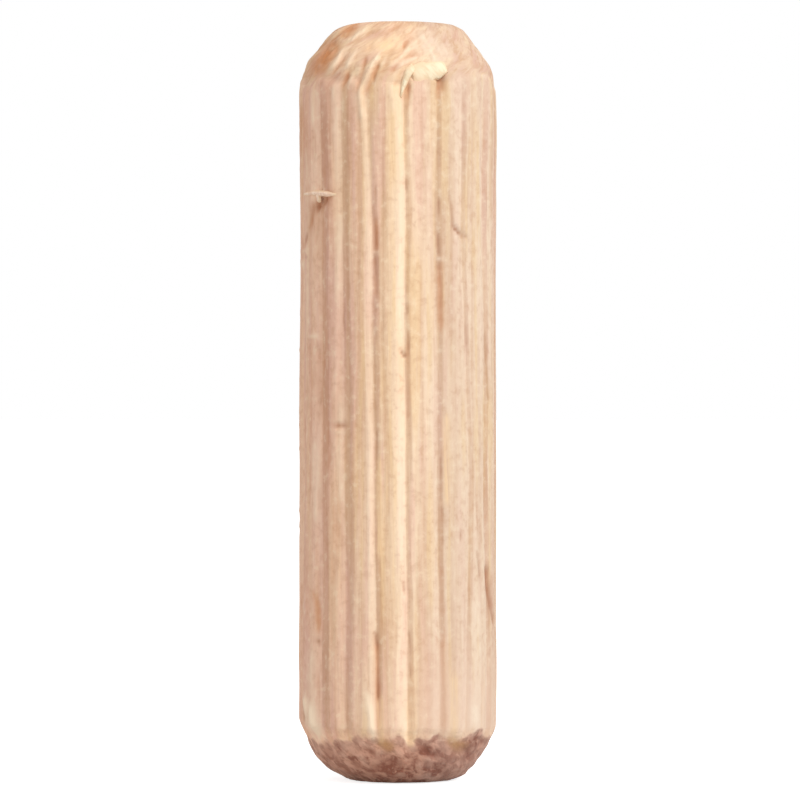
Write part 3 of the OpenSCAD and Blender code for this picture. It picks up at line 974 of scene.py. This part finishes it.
def side_wood(tree, middle, fine, level):
    """Colour of the turned and fluted side."""
    broad = streaks(tree, "grain", 1.1, 26, 2)
    honey = streaks(tree, "grain", 0.52, 8, 2)
    mottle = streaks(tree, "grain", 0.28, 0.3, 4)
    pores = streaks(tree, "grain", 0.075, 0.55, 1)
    edge = streaks(tree, "grain", 0.12, 0.8, 3)
    colour = mixed(tree, spread(tree, broad, 0.35, 0.65), TAN, PALE)
    for tone, share, tint in (("pink", 0.88, PINK), ("tan", 0.7, BAND_TAN), ("cream", 0.35, CREAM)):
        colour = tinted(tree, colour, tone, share, tint)
    colour = coats(
        tree, colour,
        (middle, 0.42, 0.66, 0.3, PALE),
        (middle, 0.5, 0.3, 0.25, GROOVE_BROWN),
        (honey, 0.5, 0.64, less(tree, 0.62, "pink", 0.35), HONEY),
        (honey, 0.5, 0.36, less(tree, 0.55, "lit_side", 0.3), ROSE))
    # Seams tinted browner: partly their own colour, partly painted shade in the creases
    colour = tinted(tree, colour, "seam", 0.35, GROOVE_BROWN)
    # Painted light on the slopes of the flutes, which face the key lamp, and painted shade on their walls,
    # which face away; both are partly the wood's own tone
    uneven_edge = times(tree, maths(tree, "SUBTRACT", edge, 0.5), 0.7)
    ridge_pale_and_light = mixed(tree, "pink", RIDGE_PALE, RIDGE_ROSE)
    colour = tinted(tree, colour, flute_strip(tree, "slope", uneven_edge, 0.75), 0.55, ridge_pale_and_light)
    wall_brown_and_shade = mixed(tree, spread(tree, honey, 0.32, 0.52), GROOVE_ROSE, GROOVE_BROWN)
    wall_brown_and_shade = tinted(tree, wall_brown_and_shade, "pink", 0.7, GROOVE_ROSE)
    colour = tinted(tree, colour, flute_strip(tree, "wall", uneven_edge, 0.7), 0.6, wall_brown_and_shade)
    foot = less(tree, maths(tree, "ADD", times(tree, "lit_side", 0.35), 0.2), "pink", 0.2)
    colour = coats(
        tree, colour,
        (fine, 0.52, 0.3, 0.12, GROOVE_BROWN),
        (pores, 0.42, 0.2, 0.1, GROOVE_BROWN),
        (mottle, 0.5, 0.3, 0.26, GROOVE_BROWN),
        (mottle, 0.52, 0.72, 0.3, CREAM),
        (level, 6.0, 3.0, foot, FOOT_PALE))
    torn = times(tree, "torn", spread(tree, fine, 0.2, 0.55))
    colour = tinted(tree, colour, torn, 0.7, TORN_BROWN)
    return tinted(tree, colour, "proud", 0.7, PROUD_PALE)


def upper_end_wood(tree, rough, speck):
    """Colour of the rough upper taper, with painted shade in the hollows of its relief and painted light on
    its bumps.
    """
    patch = streaks(tree, "grain", 0.8, 0.7, 3, 0.6)
    return coats(
        tree, mixed(tree, spread(tree, rough, 0.3, 0.64), END_TAN, END_PALE),
        # Painted shade in the hollows of the relief and painted light on its bumps
        ("relief_shading", 0.5, 0.95, 0.3, GROOVE_BROWN),
        ("relief_shading", 0.5, 0.1, 0.4, END_CREAM),
        (patch, 0.5, 0.68, 0.6, END_CREAM),
        (patch, 0.48, 0.32, 0.6, END_ROSE),
        (speck, 0.48, 0.3, 0.35, GROOVE_BROWN))


def scorched_wood(tree, blot, fleck):
    """Colour of the scorch on the lower taper, with painted shade in the hollows of its relief and painted
    light on its bumps.
    """
    return coats(
        tree, mixed(tree, spread(tree, blot, 0.41, 0.59), SCORCH_DARK, SCORCH_PALE),
        # Painted shade in the hollows of the relief and painted light on its bumps
        ("relief_shading", 0.5, 0.9, 0.7, SCORCH_DARK),
        ("relief_shading", 0.5, 0.12, 0.55, SCORCH_LIGHT),
        (fleck, 0.46, 0.3, 0.3, SCORCH_DARK),
        (fleck, 0.56, 0.7, 0.35, SCORCH_LIGHT),
        ("scorch_in", 0.5, 0.0, 0.45, SCORCH_LIGHT))


def scorch_share(tree, blot):
    """How far the scorch covers the wood, with a patchy edge."""
    patchy = times(tree, maths(tree, "SUBTRACT", 0.5, blot), 1.6)
    share = spread(tree, maths(tree, "ADD", "scorch", patchy), 0.15, 0.85)
    reach = spread(tree, "scorch", 0.02, 0.2)
    return times(tree, share, times(tree, reach, 0.97))


def face_wood(tree):
    """Colour of the sawn end faces, with their pores."""
    place = node(tree, "ShaderNodeTexCoord").outputs["Object"]
    pores = node(tree, "ShaderNodeTexNoise", {"Vector": place, "Scale": 9000.0, "Detail": 2.0})
    return mixed(tree, spread(tree, pores.outputs["Fac"], 0.3, 0.6), FACE_DARK, FACE_TAN)


def wood_surface(tree, colour, roughness, height, strength, depth):
    """Matt wood with a bumpy surface."""
    bump = node(tree, "ShaderNodeBump", {"Height": height, "Strength": strength, "Distance": depth})
    shader = node(tree, "ShaderNodeBsdfPrincipled", {
        "Base Color": colour, "Roughness": roughness, "Normal": bump.outputs["Normal"],
        "Specular IOR Level": 0.25})
    node(tree, "ShaderNodeOutputMaterial", {"Surface": shader.outputs["BSDF"]})


def beech_finish():
    """Raw beech: streaked sides, fibrous cut tapers and end grain."""
    finish, tree = new_finish("raw_beech")
    level = node(tree, "ShaderNodeSeparateXYZ", {0: "grain"}).outputs["Z"]
    middle = streaks(tree, "grain", 0.34, 7, 2)
    fine = streaks(tree, "grain", 0.11, 1.8, 3)
    rough = streaks(tree, "grain", 0.4, 0.36, 2.5, 0.8)
    speck = streaks(tree, "grain", 0.2, 0.2, 2, 0.6)
    blot = streaks(tree, "grain", 0.5, 0.42, 2.5, 0.3)
    fleck = streaks(tree, "grain", 0.22, 0.2, 2, 0.3)

    colour = side_wood(tree, middle, fine, level)
    upper = upper_end_wood(tree, rough, speck)
    colour = tinted(tree, colour, "upper_cut", 0.85, upper)
    # Painted light on the lower taper, full below 1.8 mm and none above 2.5 mm
    painted_light_low = times(tree, "lower_cut", spread(tree, level, 2.5, 1.8))
    colour = mixed(tree, painted_light_low, colour, LOW_TAPER_PAINTED_LIGHT, "MULTIPLY")
    colour = mixed(tree, scorch_share(tree, blot), colour, scorched_wood(tree, blot, fleck))
    cut_pad = times(tree, "proud", "upper_cut")
    for mask, share, tint in (
        # Hollows tinted brown: torn wood, and painted shade in some of them
        ("hollow", 0.7, HOLLOW_BROWN),
        (cut_pad, 0.7, PROUD_PALE),
        ("orange", 0.85, ORANGE),
        ("ochre", 0.85, OCHRE),
        ("honey", spread(tree, fine, 0.1, 0.8), STREAK_HONEY),
        ("pale_strip_and_highlight", 0.7, PALE_STRIP_AND_HIGHLIGHT),
        ("slit", 0.65, SLIT_BROWN),
        ("pad", 0.75, PAD_PALE),
        ("pit", 0.6, SCORCH_DARK),
    ):
        colour = tinted(tree, colour, mask, share, tint)
    # Painted shade on the side that faces the key lamp
    colour = mixed(tree, "lit_side", colour, LIT_SIDE_PAINTED_SHADE, "MULTIPLY")
    colour = mixed(tree, "face", colour, face_wood(tree))

    cut = maths(tree, "MAXIMUM", "upper_cut", "lower_cut")
    middle = times(tree, middle, 0.6)
    side_height = maths(tree, "ADD", times(tree, fine, 0.7), middle)
    side_height = times(tree, side_height, less(tree, 1.0, cut, 0.75))
    end_height = times(tree, maths(tree, "ADD", rough, speck), cut)
    height = maths(tree, "ADD", side_height, times(tree, end_height, 1.1))
    roughness = node(tree, "ShaderNodeMapRange", {"Value": fine, "To Min": 0.66, "To Max": 0.86})
    wood_surface(tree, colour, roughness.outputs["Result"], height, 0.4, 0.06 * MM)
    return finish


def splinter_finish(name, pale, dark):
    """Torn beech fibres in two tones."""
    finish, tree = new_finish(name)
    place = node(tree, "ShaderNodeTexCoord").outputs["Object"]
    lean = node(tree, "ShaderNodeVectorRotate", {"Vector": place, "Angle": 0.7}, rotation_type="Y_AXIS")
    streak = streaks(tree, lean.outputs[0], 0.16 * MM, 0.7 * MM, 2)
    colour = mixed(tree, spread(tree, streak, 0.62, 0.34), pale, dark)
    colour = mixed(tree, "loose", ROOT_TAN, colour)
    wood_surface(tree, colour, 0.75, streak, 0.3, 0.04 * MM)
    return finish


# Studio: floor, world, lamps and camera

WHITE = (1, 1, 1, 1)
BLACK = (0, 0, 0, 1)
FLOOR_COLOUR = (0.62, 0.62, 0.62, 1.0)
FLOOR_SIZE = 3.0
FLOOR_GLOW = 0.8
WORLD_LEVEL = 0.66
KEY_POWER = 0.62
FILL_POWER = 0.1
SENSOR_WIDTH = 36.0
CAMERA_DISTANCE = 167.0
CAMERA_SIDE = 0.1
CAMERA_HEIGHT = 15.09
VIEW_WIDTH = 800 / 25.12


def seen_straight(tree):
    """1 for what the camera sees directly or in a reflection."""
    ray = node(tree, "ShaderNodeLightPath")
    return maths(tree, "MAXIMUM", ray.outputs["Is Camera Ray"], ray.outputs["Is Glossy Ray"])


def studio_floor():
    """Large pale floor that shows white and keeps the pin's shadow."""
    finish, tree = new_finish("pale_floor")
    diffuse = node(tree, "ShaderNodeBsdfDiffuse", {"Color": FLOOR_COLOUR})
    glow = node(tree, "ShaderNodeEmission", {"Color": WHITE, "Strength": FLOOR_GLOW})
    none = node(tree, "ShaderNodeEmission", {"Color": BLACK, "Strength": 0.0})
    extra = node(tree, "ShaderNodeMixShader", {
        0: seen_straight(tree), 1: none.outputs[0], 2: glow.outputs[0]})
    both = node(tree, "ShaderNodeAddShader", {0: diffuse.outputs[0], 1: extra.outputs[0]})
    node(tree, "ShaderNodeOutputMaterial", {"Surface": both.outputs[0]})
    floor = placed("floor", flat_sheet("floor", 1, 1, FLOOR_SIZE))
    floor.data.materials.append(finish)


def studio_world():
    """Even white surroundings, shown as white."""
    world = bpy.data.worlds.new("studio")
    bpy.context.scene.world = world
    world.use_nodes = True
    tree = world.node_tree
    tree.nodes.clear()
    light = node(tree, "ShaderNodeBackground", {"Color": WHITE, "Strength": WORLD_LEVEL})
    white = node(tree, "ShaderNodeBackground", {"Color": WHITE, "Strength": 1.0})
    both = node(tree, "ShaderNodeMixShader", {
        0: seen_straight(tree), 1: light.outputs[0], 2: white.outputs[0]})
    node(tree, "ShaderNodeOutputWorld", {"Surface": both.outputs[0]})


def soft_lamp(name, turn, elevation, distance, size, power):
    """Square soft lamp that faces the middle of the pin. Distance and size are in metres."""
    lamp = bpy.data.lights.new(name, "AREA")
    lamp.shape = "SQUARE"
    lamp.size = size
    lamp.energy = power
    made = placed(name, lamp)
    a, e = math.radians(turn), math.radians(elevation)
    way = (math.sin(a) * math.cos(e), -math.cos(a) * math.cos(e), math.sin(e))
    made.location = [distance * way[0], distance * way[1], distance * way[2] + MID_HEIGHT * MM]
    made.rotation_euler = (math.pi / 2 - e, 0, a)


def studio_camera():
    """Level camera in front of the middle of the pin."""
    lens = bpy.data.cameras.new("camera")
    lens.sensor_width = SENSOR_WIDTH
    lens.lens = SENSOR_WIDTH * CAMERA_DISTANCE / VIEW_WIDTH
    lens.clip_start, lens.clip_end = 0.01, 20.0
    camera = placed("camera", lens)
    camera.location = (CAMERA_SIDE * MM, -CAMERA_DISTANCE * MM, CAMERA_HEIGHT * MM)
    camera.rotation_euler = (math.pi / 2, 0, 0)
    bpy.context.scene.camera = camera


pin = pin_body()
pin.data.materials.append(beech_finish())
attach(pin, "root")
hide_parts("dowel_pin")

for name, rows, pale, dark in (
    ("cream_splinters", CREAM_SPLINTERS, srgb(241, 224, 192), srgb(230, 206, 170)),
    ("rosy_splinters", ROSY_SPLINTERS, srgb(255, 228, 204), srgb(242, 204, 176)),
):
    piece = splinters(name, rows)
    piece.data.materials.append(splinter_finish(name, pale, dark))
    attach(piece, "root")

studio_floor()
studio_world()
soft_lamp("key_lamp", 45, 36, 0.30, 0.16, KEY_POWER)
soft_lamp("fill_lamp", -60, 15, 0.35, 0.2, FILL_POWER)
studio_camera()
bpy.context.scene.view_settings.view_transform = "Standard"
